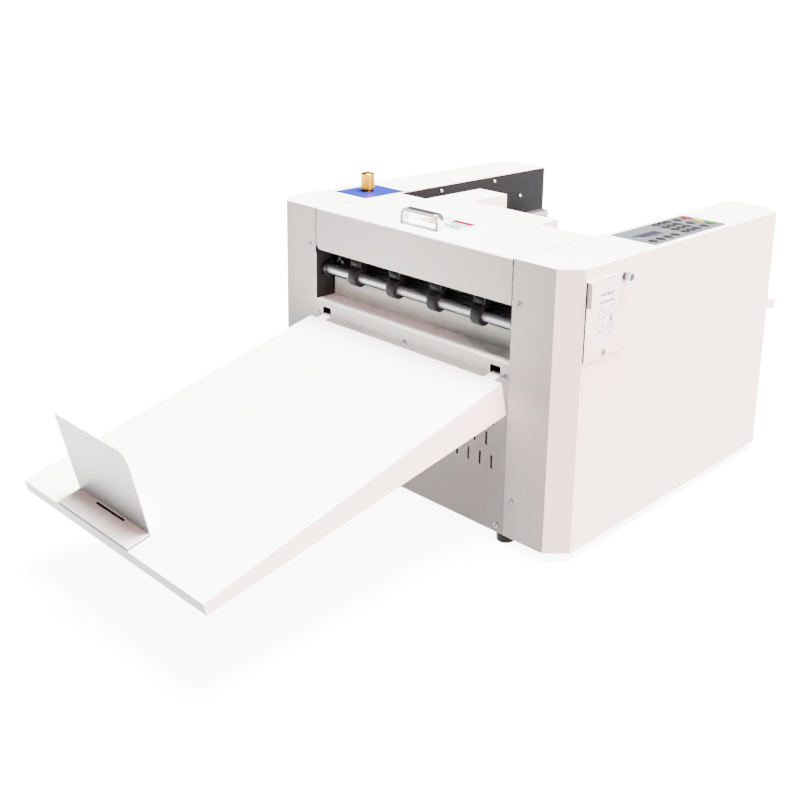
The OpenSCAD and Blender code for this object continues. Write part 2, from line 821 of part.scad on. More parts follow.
// Knurled knob with a narrow foot, a groove round its neck and a domed cap.
module adjust_knob() {
    foot = 1.2;
    skirt = 4;
    crown = 2.8;
    rim_d = knob_d - 4;
    groove_z = knob_h - 11.5;
    color([0.8, 0.6, 0.3]) machine() translate([knob_x, knob_y, body_h + 1]) difference() {
        union() {
            cylinder(d = knob_d - 8, h = foot);
            translate([0, 0, foot - 0.01]) cylinder(d1 = knob_d - 5, d2 = knob_d, h = skirt - foot + 0.01);
            translate([0, 0, skirt - 0.01]) cylinder(d = knob_d, h = knob_h - skirt - crown + 0.01);
            translate([0, 0, knob_h - crown - 0.01]) cylinder(d1 = knob_d, d2 = rim_d, h = crown / 2 + 0.01);
            translate([0, 0, knob_h - crown / 2 - 0.01])
                cylinder(d1 = rim_d, d2 = rim_d - 9, h = crown / 2 + 0.01);
        }
        translate([0, 0, -1]) cylinder(d = spindle_d, h = knob_h - 5);
        translate([0, 0, groove_z]) difference() {
            cylinder(d = knob_d + 2, h = 1.6);
            translate([0, 0, -1]) cylinder(d = knob_d - 3, h = 4);
        }
        for (a = [0:12:348]) rotate(a) translate([knob_d / 2 + 0.15, 0, skirt + 1])
            cylinder(d = 1, h = groove_z - skirt - 2, $fn = 16);
    }
}

module knob_spindle() {
    color(steel) machine() translate([knob_x, knob_y, 0]) {
        translate([0, 0, body_h - 45]) cylinder(d = spindle_d, h = 45 + knob_h - 5);
    }
}

module exit_shaft() {
    color(steel) machine() rod(shaft_d, belt_x - pulley_w, half_bay + 7, exit_y, exit_z);
}

module transport_rollers(y) {
    for (x = roller_x)
        ring(2 * roller_r, shaft_d, x - roller_w / 2, x + roller_w / 2, y, exit_z);
}

module exit_rollers() {
    color(rubber) machine() transport_rollers(exit_y);
}

// Bush in the right frame, with its flange on the bay side.
module flanged_bearing(y, z) {
    rod(bearing_d, half_bay, frame_x + 3, y, z);
    rod(bearing_flange, half_bay - 2, half_bay, y, z);
}

// Sleeve with an end ring, which carries an exit bush further into the bay.
module bearing_sleeve() {
    end = half_bay - sleeve_l;
    rod(sleeve_d, end, half_bay - 1.99, exit_y, exit_z);
    rod(sleeve_ring_d, end, end + sleeve_ring_w, exit_y, exit_z);
}

module shaft_bearings() {
    places = [[exit_y, exit_z], [entry_y, exit_z], [feed_y, feed_z]];
    color(steel) machine() for (m = [0, 1]) mirror([m, 0, 0]) difference() {
        union() {
            for (p = places) flanged_bearing(p[0], p[1]);
            bearing_sleeve();
        }
        for (p = places) rod(shaft_d + 2 * run_gap, 0, half_w, p[0], p[1]);
    }
}

// Idler wheels, each on its own short axle over an exit roller.
module exit_idlers() {
    axle_l = 22;
    color(black) machine() for (x = roller_x) {
        rod(idler_axle_d, x - axle_l / 2, x + axle_l / 2, exit_y, idler_z);
        rod(2 * idler_r, x - idler_w / 2, x + idler_w / 2, exit_y, idler_z);
    }
}

// Black bracket over the exit, with ears that hold the idler axles.
module idler_bracket() {
    wall_y = ledge_d + 3;
    color(black) machine() {
        block([-half_bay, wall_y, path_z + 3], [half_bay, wall_y + 1.5, path_z + 30]);
        block([-half_bay, wall_y - 12, path_z + 28.5], [half_bay, wall_y + 0.01, path_z + 30]);
        for (x = roller_x, s = [-1, 1]) difference() {
            along_x(x + s * (idler_w / 2 + 2.5) - 1, x + s * (idler_w / 2 + 2.5) + 1)
                polygon([[exit_y - 4.5, idler_z - 4], [exit_y + 4, idler_z - 4], [wall_y, path_z + 4],
                         [wall_y, path_z + 20], [exit_y - 4.5, idler_z + 5]]);
            rod(idler_axle_d + 2 * run_gap, -half_bay, half_bay, exit_y, idler_z);
        }
    }
}

// Black sheet from the creasing die to the exit rollers, with its turned-down front.
module exit_guide() {
    y0 = ledge_d + 2;
    y1 = crease_y - 14;
    color(black) machine()
        along_x(-half_bay + seam, half_bay - seam) translate([y0 + skin, throat_wall_z - 12]) rotate(90)
            folded([path_z - 0.5 - throat_wall_z + 12 - skin - bend_r, y1 - y0 - skin - bend_r], [-1], skin);
}

module crease_die() {
    groove = blade_t + 0.6;
    color(steel) machine() difference() {
        block([-half_bay, crease_y - die_w / 2, path_z - die_h],
              [half_bay, crease_y + die_w / 2, path_z - 0.4]);
        block([-half_bay - 1, crease_y - groove / 2, path_z - groove_h],
              [half_bay + 1, crease_y + groove / 2, path_z]);
    }
}

module crease_beam() {
    color(steel) machine() difference() {
        union() {
            block([-half_bay + 1.5, crease_y - beam_t / 2, beam_z],
                  [half_bay - 1.5, crease_y + beam_t / 2, beam_z + beam_h]);
            block([-frame_x - 3, crease_y - 6, beam_z + 1], [frame_x + 3, crease_y + 6, beam_z + 21]);
        }
        block([-half_bay, crease_y - blade_t / 2, beam_z - 1],
              [half_bay, crease_y + blade_t / 2, beam_z + 8]);
    }
}

module crease_blade() {
    color([0.6, 0.62, 0.66]) machine()
        along_x(-half_bay + 20, half_bay - 20) translate([crease_y, path_z + blade_rest])
            polygon([[-blade_t / 4, 0], [blade_t / 4, 0], [blade_t / 2, 1],
                     [blade_t / 2, 10], [-blade_t / 2, 10], [-blade_t / 2, 1]]);
}

// Cam with a steady rise: its radius grows by the stroke over its working turn.
function cam_radius(a) = cam_r + (a <= cam_turn ? crease_stroke * a / cam_turn
    : crease_stroke * (360 - a) / (360 - cam_turn));

module lift_cam() {
    step = 6;
    polygon([for (a = [0:step:360 - step]) cam_radius(a) * [-sin(a), -cos(a)]]);
}

module camshaft() {
    color(steel) machine() rod(camshaft_d, -frame_x - 50, frame_x + 2, crease_y, cam_z);
}

module lift_cams() {
    color(steel) machine() for (s = [-1, 1]) difference() {
        translate([s * cam_x, crease_y, cam_z]) rotate([90, 0, 90])
            linear_extrude(cam_w, center = true) lift_cam();
        rod(camshaft_d, -half_bay, half_bay, crease_y, cam_z);
    }
}

// Motor of the camshaft on its bracket outside the left frame.
module crease_motor() {
    color(black) machine() mirror([1, 0, 0]) difference() {
        union() {
            block([frame_x + 26, crease_y - 28, cam_z - 28], [frame_x + 72, crease_y + 28, cam_z + 22]);
            for (s = [-1, 1]) block([frame_x, crease_y + s * 26 - 2, cam_z - 28],
                                    [frame_x + 26.01, crease_y + s * 26 + 2, cam_z + 22]);
        }
        rod(camshaft_d + 2 * run_gap, frame_x + 20, frame_x + 54, crease_y, cam_z);
    }
}

module entry_shaft() {
    color(steel) machine() rod(shaft_d, belt_x - pulley_w, half_bay + 7, entry_y, exit_z);
}

module entry_rollers() {
    color(rubber) machine() transport_rollers(entry_y);
}

module press_roller() {
    color(steel) machine() {
        rod(8, -frame_x - 2, frame_x + 2, entry_y, path_z + slack + 8);
        rod(16, -half_bay + 35, half_bay - 35, entry_y, path_z + slack + 8);
    }
}

module feed_shaft() {
    color(steel) machine() rod(shaft_d, -half_bay - 7, half_bay + 7, feed_y, feed_z);
}

module feed_rollers() {
    color(rubber) machine() for (x = [-22, 22])
        ring(2 * feed_r, shaft_d, x - 14, x + 14, feed_y, feed_z);
}

// Arm that swings on the feed shaft and carries the pick-up roller.
module pickup_arm() {
    fall = atan2(pick_z - feed_z, pick_arm_l);
    arm = norm([pick_arm_l, pick_z - feed_z]);
    bar_y = feed_y + pick_arm_l / 2;
    bar_z = (feed_z + pick_z) / 2;
    color(black) machine() {
        for (s = [-1, 1]) difference() {
            along_x(pick_x + s * 20 - 1.5, pick_x + s * 20 + 1.5) translate([feed_y, feed_z]) rotate(fall) {
                circle(d = shaft_d + 8);
                translate([0, -6]) square([arm, 12]);
                translate([arm, 0]) circle(d = 14);
            }
            rod(shaft_d + 2 * run_gap, -half_bay, half_bay, feed_y, feed_z);
            rod(pick_axle_d + 2 * run_gap, -half_bay, half_bay, pick_y, pick_z);
        }
        block([pick_x - 20, bar_y - 4, bar_z - 4], [pick_x + 20, bar_y + 4, bar_z + 3]);
    }
}

module pickup_roller() {
    color(rubber) machine() {
        rod(pick_axle_d, pick_x - 23, pick_x + 23, pick_y, pick_z);
        rod(2 * pick_r, pick_x - 15, pick_x + 15, pick_y, pick_z);
    }
}

module separator_pad() {
    color(rubber) machine()
        block([-40, feed_y - 7, path_z - 26], [40, bed_y0 - slack, path_z + 0.2]);
}

// Height just above the bed at a distance y from the front face.
function over_bed(y) = bed_z0 - (y - bed_y0) * tan(bed_slope) + slack / cos(bed_slope);

// Side guide: plate with a level top, outward flange, and feet through the slots of the bed.
module side_guide() {
    x = guide_gap / 2;
    low = [guide_y0, over_bed(guide_y0)];
    rear = [guide_y1, over_bed(guide_y1)];
    foot = skin / cos(bed_slope);
    machine() {
        along_x(x, x + skin) polygon([low, rear, [guide_y1, guide_top], [guide_y0, guide_top]]);
        block([x, guide_y0, guide_top - skin], [x + guide_flange, guide_y1, guide_top]);
        along_x(x, x + guide_flange - 1)
            polygon([low, rear, rear + [0, foot], low + [0, foot]]);
        on_bed() for (y = guide_slot_y) block([x + 1, y - 3.5, -8], [x + 9, y + 3.5, slack + 0.1]);
    }
}

module right_guide() {
    color(steel) side_guide();
}

module left_guide() {
    color(steel) mirror([1, 0, 0]) side_guide();
}

// Sheet metal tray: plate, side skirts that taper to the lip, and the lip itself.
module tray_pan(l, w, deep) {
    block([-w / 2, -l, -skin], [w / 2, 0, 0]);
    for (s = [-1, 1])
        along_x(s * (w - skin) / 2 - skin / 2, s * (w - skin) / 2 + skin / 2)
            polygon([[0, 0], [-l, 0], [-l, -lip_h], [0, -deep]]);
    block([-w / 2, -l, -lip_h], [w / 2, -l + skin, 0]);
}

module on_tray() {
    translate([0, -tray_y, tray_z]) rotate([tray_slope, 0, 0]) children();
}

module exit_tray() {
    reach = (tray_y + 5.5) / tray_cos;
    color(white) machine() on_tray() {
        tray_pan(tray_l, tray_w, skirt_h);
        for (s = [-1, 1]) {
            x = s * hook_x;
            block([x - hook_hole_w / 2 + 1, -0.01, -skin], [x + hook_hole_w / 2 - 1, reach, 0]);
            block([x - hook_hole_w / 2 + 1, reach - skin, -9], [x + hook_hole_w / 2 - 1, reach, 0]);
        }
    }
}

// L-shaped stop that holds to the tray by its magnet.
module paper_stop() {
    fold_y = -tray_l + stop_foot;
    base = magnet_t + slack;
    color([0.82, 0.82, 0.81]) machine() on_tray() translate([stop_x, 0, 0]) difference() {
        union() {
            block([-stop_w / 2, -tray_l + 0.5, base], [stop_w / 2, fold_y, base + skin]);
            along_y(fold_y - skin, fold_y) {
                translate([-stop_w / 2, base]) square([stop_w, stop_h - 14]);
                translate([-stop_w / 2 + 3, base]) square([stop_w - 17, stop_h]);
                translate([-stop_w / 2 + 3, base + stop_h - 3]) circle(3);
                translate([-stop_w / 2, base]) square([6, stop_h - 3]);
                translate([stop_w / 2 - 14, base + stop_h - 14]) circle(14);
            }
        }
        block([-31, fold_y - 6, -1], [28, fold_y - 3.5, base + skin + 1]);
        block([-71, -tray_l + 3, -1], [-69.5, -tray_l + 9, base + skin + 1]);
    }
}

module stop_magnet() {
    color(black) machine() on_tray()
        translate([stop_x - stop_w / 2 + 1, -tray_l + 1.5, slack])
            cube([stop_w - 2, stop_foot - 8.5, magnet_t]);
}

module feed_tray() {
    color(white) machine() translate([0, body_d, bed_z1])
    mirror([0, 1, 0]) rotate([tray_slope, 0, 0]) difference() {
        union() {
            tray_pan(feed_reach / tray_cos, feed_w, skirt_h);
            rotate([-tray_slope, 0, 0]) block([-feed_w / 2, -skin, -30], [feed_w / 2, 0, 0]);
        }
        rotate([-tray_slope, 0, 0]) block([-feed_w, 0, -80], [feed_w, 40, 20]);
    }
}

// Flanged belt pulley on a shaft along X through (y, z).
module pulley(y, z, bore) {
    difference() {
        union() {
            rod(2 * pulley_r, belt_x - pulley_w / 2, belt_x + pulley_w / 2, y, z);
            for (x = [belt_x - pulley_w / 2 - 1, belt_x + pulley_w / 2])
                rod(2 * pulley_r + 5, x, x + 1, y, z);
        }
        rod(bore, -half_w, half_w, y, z);
    }
}

module exit_pulley() {
    color(steel) machine() pulley(exit_y, exit_z, shaft_d);
}

module entry_pulley() {
    color(steel) machine() pulley(entry_y, exit_z, shaft_d);
}

// Pulley in one piece with the shaft that runs into the motor.
module motor_pulley() {
    color(steel) machine() {
        pulley(motor_y, motor_z, motor_shaft_d - 0.02);
        rod(motor_shaft_d, belt_x - pulley_w, -half_bay + 12, motor_y, motor_z);
    }
}

// Outline of a band at radius r round the three pulleys of the drive: an arc about each pulley.
module belt_outline(r) {
    arc = 12;
    c = [[exit_y, exit_z], [entry_y, exit_z], [motor_y, motor_z]];
    way = [for (i = [0:2]) atan2(c[(i + 1) % 3][1] - c[i][1], c[(i + 1) % 3][0] - c[i][0]) + 90];
    polygon([for (i = [0:2]) for (k = [0:arc])
        let (turn = (way[(i + 2) % 3] - way[i] + 720) % 360, a = way[i] + turn * (1 - k / arc))
        c[i] + r * [cos(a), sin(a)]]);
}

module drive_belt() {
    color(black) machine() along_x(belt_x - 3.5, belt_x + 3.5) difference() {
        belt_outline(pulley_r + slack + 1.5);
        belt_outline(pulley_r + slack);
    }
}

module drive_motor() {
    color(black) machine() difference() {
        block([-half_bay, motor_y - motor_w / 2, motor_z - motor_w / 2],
              [-half_bay + motor_l, motor_y + motor_w / 2, motor_z + motor_w / 2]);
        rod(motor_shaft_d + 2 * run_gap, -half_bay - 1, -half_bay + 14, motor_y, motor_z);
    }
}

base_pan();
left_frame();
right_frame();
left_casing();
right_casing();
front_panel();
rear_panel();
feed_bed();
feed_hood();
hinge_beam();
feet();
case_screws();
scale_plate();
keypad_panel();
display_window();
number_keys();
power_inlet();
power_rocker();
top_cover();
cover_handle();
cover_hinge_leaves();
beam_hinge_leaves();
access_plate();
thumbscrew();
adjust_knob();
knob_spindle();
exit_shaft();
exit_rollers();
shaft_bearings();
exit_idlers();
idler_bracket();
exit_guide();
crease_die();
crease_beam();
crease_blade();
camshaft();
lift_cams();
entry_shaft();
entry_rollers();
press_roller();
feed_shaft();
feed_rollers();
pickup_arm();
pickup_roller();
separator_pad();
left_guide();
right_guide();
exit_tray();
paper_stop();
stop_magnet();
feed_tray();
drive_motor();
motor_pulley();
exit_pulley();
entry_pulley();
drive_belt();
start_key();
stop_key();
reset_key();
crease_motor();
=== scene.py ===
import math
import random

import bmesh
import bpy
from mathutils import Matrix, Vector


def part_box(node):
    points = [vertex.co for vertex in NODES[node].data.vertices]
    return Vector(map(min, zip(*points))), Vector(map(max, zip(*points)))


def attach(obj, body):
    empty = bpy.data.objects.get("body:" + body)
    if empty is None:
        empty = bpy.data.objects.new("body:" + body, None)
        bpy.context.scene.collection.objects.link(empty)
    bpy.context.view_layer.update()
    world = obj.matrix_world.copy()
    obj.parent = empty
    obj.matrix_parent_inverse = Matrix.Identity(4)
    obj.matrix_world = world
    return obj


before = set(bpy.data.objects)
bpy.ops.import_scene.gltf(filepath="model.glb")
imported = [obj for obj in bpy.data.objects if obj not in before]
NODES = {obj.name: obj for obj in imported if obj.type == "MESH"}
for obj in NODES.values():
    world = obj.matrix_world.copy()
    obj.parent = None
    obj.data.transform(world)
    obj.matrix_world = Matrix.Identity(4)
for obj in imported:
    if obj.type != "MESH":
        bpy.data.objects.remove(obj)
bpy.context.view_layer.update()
MM = 0.001

# The CAD counts from the front face and the lower edge of the casings; these two bring its
# numbers into the shared frame.
FRONT_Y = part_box("left_casing")[0].y
FOOT_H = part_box("left_casing")[0].z

SIDES = (-1, 1)
ACROSS, BACK, UP = (1, 0, 0), (0, 1, 0), (0, 0, 1)
FRONT = (0, -1, 0)


def at(x, y, z):
    """A point given in millimetres from the front face and the lower edge of the casings."""
    return Vector((x * MM, y * MM + FRONT_Y, z * MM + FOOT_H))


# ---------------------------------------------------------------- building blocks of materials
def noise(tree, vector, scale, detail):
    """Noise texture over the coordinates that a socket gives."""
    node = tree.nodes.new("ShaderNodeTexNoise")
    node.inputs["Scale"].default_value = scale
    node.inputs["Detail"].default_value = detail
    tree.links.new(vector, node.inputs["Vector"])
    return node


def ranged(tree, value, low, high, to_low=0.0, to_high=1.0):
    """Socket that goes from to_low to to_high while another goes from low to high."""
    node = tree.nodes.new("ShaderNodeMapRange")
    node.inputs["From Min"].default_value = low
    node.inputs["From Max"].default_value = high
    node.inputs["To Min"].default_value = to_low
    node.inputs["To Max"].default_value = to_high
    tree.links.new(value, node.inputs["Value"])
    return node.outputs["Result"]


def part_of(mat, coordinate, axis):
    """One axis of a set of the object's own coordinates."""
    tree = mat.node_tree
    where = tree.nodes.new("ShaderNodeTexCoord")
    split = tree.nodes.new("ShaderNodeSeparateXYZ")
    tree.links.new(where.outputs[coordinate], split.inputs["Vector"])
    return split.outputs[axis]


def side_of(mat, axis, sign):
    """Socket that is 1 on faces turned to one side of the object and 0 on the others."""
    return ranged(mat.node_tree, part_of(mat, "Normal", axis), sign * 0.5, sign * 0.85)


def along(mat, axis, start, end):
    """Socket that goes from 0 to 1 between two places along the object, given in metres."""
    return ranged(mat.node_tree, part_of(mat, "Object", axis), start, end)


def disc_about(mat, center, radius):
    """Socket that is 1 within a radius of an axis along X, in metres."""
    tree = mat.node_tree
    where = tree.nodes.new("ShaderNodeTexCoord")
    mapping = tree.nodes.new("ShaderNodeMapping")
    mapping.inputs["Location"].default_value = (0, -center.y, -center.z)
    mapping.inputs["Scale"].default_value = (0, 1, 1)
    tree.links.new(where.outputs["Object"], mapping.inputs["Vector"])
    length = tree.nodes.new("ShaderNodeVectorMath")
    length.operation = "LENGTH"
    tree.links.new(mapping.outputs["Vector"], length.inputs["Vector"])
    return ranged(tree, length.outputs["Value"], radius * 1.06, radius * 0.96)


def both(mat, a, b):
    """Socket that is 1 where two others are."""
    product = mat.node_tree.nodes.new("ShaderNodeMath")
    product.operation = "MULTIPLY"
    mat.node_tree.links.new(a, product.inputs[0])
    mat.node_tree.links.new(b, product.inputs[1])
    return product.outputs["Value"]


def tinted(mat, share, color):
    """Lays another colour over a finish where the share is 1."""
    tree = mat.node_tree
    base = tree.nodes["Principled BSDF"].inputs["Base Color"]
    under = base.links[0].from_socket
    mix = tree.nodes.new("ShaderNodeMix")
    mix.data_type = "RGBA"
    # A mix node names its colour sockets like its number sockets, so they go by place here.
    tree.links.new(share, mix.inputs[0])
    tree.links.new(under, mix.inputs[6])
    mix.inputs[7].default_value = (*color, 1)
    tree.links.new(mix.outputs[2], base)


def finish_of(name, color, rough, metal=0.0, tone=0.05, blotch=9.0, grain=700.0, bump=0.06,
              spread=0.06, stretch=(1, 1, 1), scuff=0.0, specular=0.5):
    """Procedural finish: broad tone changes, fine grain in bump and roughness, maybe scuffs."""
    mat = bpy.data.materials.new(name)
    mat.use_nodes = True
    mat.diffuse_color = (*color, 1)
    tree = mat.node_tree
    shader = tree.nodes["Principled BSDF"]
    shader.inputs["Metallic"].default_value = metal
    shader.inputs["Specular IOR Level"].default_value = specular
    where = tree.nodes.new("ShaderNodeTexCoord").outputs["Object"]
    mapping = tree.nodes.new("ShaderNodeMapping")
    mapping.inputs["Scale"].default_value = stretch
    tree.links.new(where, mapping.inputs["Vector"])

    ramp = tree.nodes.new("ShaderNodeValToRGB")
    dark, light = ramp.color_ramp.elements
    dark.position, light.position = 0.3, 0.7
    dark.color = (*[c * (1 - tone) for c in color], 1)
    light.color = (*[min(1, c * (1 + tone / 2)) for c in color], 1)
    tree.links.new(noise(tree, where, blotch, 5).outputs["Fac"], ramp.inputs["Fac"])
    tree.links.new(ramp.outputs["Color"], shader.inputs["Base Color"])
    if scuff:
        marks = noise(tree, where, 46, 9)
        marks.inputs["Roughness"].default_value = 0.72
        worn = ranged(tree, marks.outputs["Fac"], 0.62, 0.74, 0.0, scuff)
        tinted(mat, worn, [c * 0.7 for c in color])

    fine = noise(tree, mapping.outputs["Vector"], grain, 3).outputs["Fac"]
    gloss = ranged(tree, fine, 0.0, 1.0, max(0.02, rough - spread), min(1.0, rough + spread))
    tree.links.new(gloss, shader.inputs["Roughness"])
    raised = tree.nodes.new("ShaderNodeBump")
    raised.inputs["Strength"].default_value = bump
    raised.inputs["Distance"].default_value = 0.12 * MM
    tree.links.new(fine, raised.inputs["Height"])
    tree.links.new(raised.outputs["Normal"], shader.inputs["Normal"])
    return mat


# ---------------------------------------------------------------- materials
# The light is strong and the view compresses it, so colours are darker here than they look.
PAINT = dict(tone=0.018, grain=1500, bump=0.25, scuff=0.05)
WHITE = finish_of("white_paint", (0.80, 0.80, 0.77), 0.42, specular=0.12, **PAINT)
TRAY_WHITE = finish_of("tray_paint", (0.86, 0.86, 0.84), 0.44, specular=0.25, **PAINT)
PANEL_WHITE_PAINTED_LIGHT = finish_of("panel_paint_painted_light", (0.80, 0.80, 0.77), 0.42, specular=0.12, **PAINT)
STOP_GREY = finish_of("stop_paint", (0.6, 0.6, 0.58), 0.4, tone=0.02, grain=1500, bump=0.25,
                      scuff=0.06)
GUIDE_GREY = finish_of("guide_paint", (0.2, 0.18, 0.178), 0.5, grain=1200, bump=0.25, scuff=0.2)
CHARCOAL = finish_of("charcoal_paint", (0.0046, 0.0057, 0.0068), 0.6, tone=0.08, grain=1100,
                     bump=0.5, scuff=0.1, specular=0.04)
BLACK = finish_of("black_paint", (0.005, 0.0055, 0.0065), 0.55, tone=0.1, grain=1100, bump=0.4,
                  specular=0.08)

# Painted light: some faces get a painted highlight or painted shade by the way they are turned,
# and some parts get painted shade by height or by depth.
PANEL_SHADE_Z = (205, 165)      # painted shade under the tray: the front panel darkens between these heights
FRAME_SHADE_Y = (440, 190)      # and painted shade deeper in: the inner frames lighten between these places
# Painted highlight on the top faces of the front panel, and painted shade low on it under the
# tray.
tinted(PANEL_WHITE_PAINTED_LIGHT, side_of(PANEL_WHITE_PAINTED_LIGHT, "Z", 1), (0.97, 0.97, 0.94))
tinted(PANEL_WHITE_PAINTED_LIGHT, along(PANEL_WHITE_PAINTED_LIGHT, "Z", *[at(0, 0, z).z for z in PANEL_SHADE_Z]),
       (0.4, 0.4, 0.39))
# Painted shade on the front faces of the trays.
tinted(TRAY_WHITE, side_of(TRAY_WHITE, "Y", -1), (0.33, 0.33, 0.33))
# Painted shade on the front faces of the paper stop.
tinted(STOP_GREY, side_of(STOP_GREY, "Y", -1), (0.15, 0.15, 0.15))
# Painted shade on the top faces of the guides.
tinted(GUIDE_GREY, side_of(GUIDE_GREY, "Z", 1), (0.022, 0.022, 0.023))
# Painted shade on the inner frames, darker deeper in and lighter towards the front.
tinted(CHARCOAL, along(CHARCOAL, "Y", *[at(0, y, 0).y for y in FRAME_SHADE_Y]),
       (0.012, 0.013, 0.0135))

DRAWN = dict(metal=1.0, grain=420, bump=0.3, stretch=(0.05, 1, 1), spread=0.1)
STEEL = finish_of("steel", (0.62, 0.63, 0.65), 0.24, tone=0.05, **DRAWN)
DULL_STEEL = finish_of("dull_steel", (0.21, 0.21, 0.215), 0.5, tone=0.06, **DRAWN)
SATIN = finish_of("satin_steel", (0.8, 0.8, 0.79), 0.3, metal=1.0, tone=0.03, grain=500,
                  bump=0.2, stretch=(0.08, 1, 1), spread=0.08)
# Painted shade on the top and front faces of the handle; faces turned to the side light stay
# light.
tinted(SATIN, side_of(SATIN, "Z", 1), (0.3, 0.3, 0.3))
tinted(SATIN, side_of(SATIN, "Y", -1), (0.1, 0.1, 0.1))
PLATED = dict(metal=1.0, grain=900, bump=0.2)
ZINC = finish_of("zinc_steel", (0.66, 0.68, 0.7), 0.3, tone=0.08, blotch=120, **PLATED)
SCREW = finish_of("screw_steel", (0.09, 0.092, 0.095), 0.25, tone=0.1, blotch=160, **PLATED)
THUMB = finish_of("thumbscrew_steel", (0.5, 0.51, 0.53), 0.3, tone=0.08, blotch=120, **PLATED)
BRASS = finish_of("brass", (0.28, 0.145, 0.007), 0.32, metal=1.0, tone=0.08, blotch=150,
                  grain=900, bump=0.25, stretch=(1, 1, 0.1))

# The thumbscrew has a dark disc in its face, and painted shade darkens its shank under its head.
THUMB_AXIS = at(0, 103, 348.5)
THUMB_DISC_R = 5.2 * MM
THUMB_SHANK_SHADE_X = (282.5, 280.5)
tinted(THUMB, both(THUMB, side_of(THUMB, "X", 1), disc_about(THUMB, THUMB_AXIS, THUMB_DISC_R)),
       (0.001, 0.0016, 0.0022))
# Painted shade on the shank under the head.
tinted(THUMB, along(THUMB, "X", *[x * MM for x in THUMB_SHANK_SHADE_X]), (0.06, 0.06, 0.062))

ELASTIC = dict(tone=0.2, grain=1300, bump=0.5)
FOOT_RUBBER = finish_of("foot_rubber", (0.003, 0.003, 0.0032), 0.6, specular=0.06, **ELASTIC)
RUBBER = finish_of("rubber", (0.0095, 0.0095, 0.01), 0.7, specular=0.12, **ELASTIC)
BLUE = finish_of("blue_plate", (0.002, 0.0075, 0.16), 0.4, grain=1400, bump=0.15)
FOIL = dict(tone=0.03, grain=1600, bump=0.2)
SILVER = finish_of("silver_foil", (0.062, 0.066, 0.072), 0.5, **FOIL)
DARK_FOIL = finish_of("dark_foil", (0.022, 0.025, 0.031), 0.5, **FOIL)
DISPLAY = finish_of("display_glass", (0.018, 0.018, 0.032), 0.3, tone=0.1, blotch=40, grain=900,
                    bump=0.02)
KEY_BLACK = finish_of("black_key", (0.005, 0.005, 0.006), 0.55, tone=0.1, grain=1200, bump=0.2,
                      specular=0.2)
PLASTIC = finish_of("black_plastic", (0.005, 0.005, 0.0055), 0.6, tone=0.1, grain=1200,
                    bump=0.4, specular=0.08)
MOULDED = dict(grain=1200, bump=0.2, specular=0.3)
RED = finish_of("red_plastic", (0.14, 0.008, 0.008), 0.45, **MOULDED)
YELLOW = finish_of("yellow_plastic", (0.3, 0.275, 0.002), 0.45, tone=0.04, **MOULDED)
GREEN = finish_of("green_plastic", (0.006, 0.095, 0.011), 0.45, **MOULDED)
LABEL = finish_of("label_paper", (0.66, 0.70, 0.86), 0.4, tone=0.02, grain=1600, bump=0.1)
INK_WHITE = finish_of("white_ink", (0.07, 0.07, 0.07), 0.5, tone=0.03, grain=1500, bump=0.1)
INK = dict(grain=1500, bump=0.1, specular=0.03)
INK_GREY = finish_of("grey_ink", (0.01, 0.0105, 0.0125), 0.5, **INK)
INK_RED = finish_of("red_ink", (0.12, 0.007, 0.01), 0.45, **INK)
INK_BLUE = finish_of("blue_ink", (0.006, 0.009, 0.016), 0.45, **INK)
INK_TEAL = finish_of("teal_ink", (0.002, 0.02, 0.024), 0.45, **INK)
INK_YELLOW = finish_of("yellow_ink", (0.35, 0.24, 0.008), 0.45, **INK)

CAD_FINISH = {
    WHITE: ["left_casing", "right_casing", "rear_panel", "feed_bed", "feed_hood", "top_cover",
            "access_plate"],
    PANEL_WHITE_PAINTED_LIGHT: ["front_panel"],
    TRAY_WHITE: ["exit_tray", "feed_tray"],
    STOP_GREY: ["paper_stop"],
    GUIDE_GREY: ["left_guide", "right_guide"],
    CHARCOAL: ["base_pan", "left_frame", "right_frame", "hinge_beam"],
    BLACK: ["idler_bracket", "exit_guide", "drive_motor", "crease_motor"],
    STEEL: ["entry_shaft", "feed_shaft", "crease_die", "crease_beam", "crease_blade",
            "camshaft", "lift_cams", "press_roller", "knob_spindle"],
    DULL_STEEL: ["exit_shaft"],
    SATIN: ["cover_handle"],
    ZINC: ["motor_pulley", "exit_pulley", "entry_pulley", "cover_hinge_leaves",
           "beam_hinge_leaves"],
    SCREW: ["case_screws", "shaft_bearings"],
    THUMB: ["thumbscrew"],
    BRASS: ["adjust_knob"],
    FOOT_RUBBER: ["feet"],
    RUBBER: ["exit_rollers", "entry_rollers", "feed_rollers", "pickup_roller", "separator_pad",
             "drive_belt", "stop_magnet"],
    PLASTIC: ["exit_idlers", "pickup_arm", "power_inlet"],
    BLUE: ["scale_plate"],
    SILVER: ["keypad_panel"],
    DISPLAY: ["display_window"],
    KEY_BLACK: ["number_keys"],
    RED: ["reset_key", "power_rocker"],
    YELLOW: ["stop_key"],
    GREEN: ["start_key"],
}
for finish, names in CAD_FINISH.items():
    for name in names:
        NODES[name].data.materials.clear()
        NODES[name].data.materials.append(finish)

